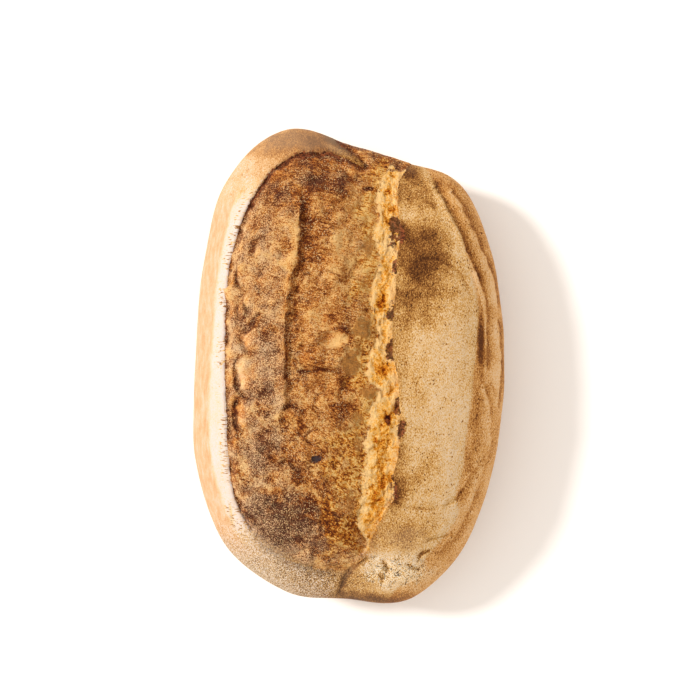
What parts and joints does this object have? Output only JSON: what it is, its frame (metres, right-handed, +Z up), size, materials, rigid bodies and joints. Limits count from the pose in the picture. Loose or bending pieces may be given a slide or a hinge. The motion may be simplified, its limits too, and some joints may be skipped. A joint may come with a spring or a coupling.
{
  "type": "scored country loaf",
  "caption": "Oval loaf of crusty country bread with a flat base and one long cut along its top, sprung open to a lifted ear, torn crumb and a blistered bloom of dough.",
  "frame": {"origin": "on the base, under the middle of the loaf's box", "axes": "+Y runs along the loaf to the end where the cut runs out, +X across it to the side that the ear lifts from, +Z up"},
  "size_m": [0.177, 0.27, 0.094],
  "materials": {
    "crust": "matt baked crust, golden brown, floury in places and charred along the lip of the ear"
  },
  "bodies": {
    "root": {"loaf": "crust"}
  },
  "joints": []
}
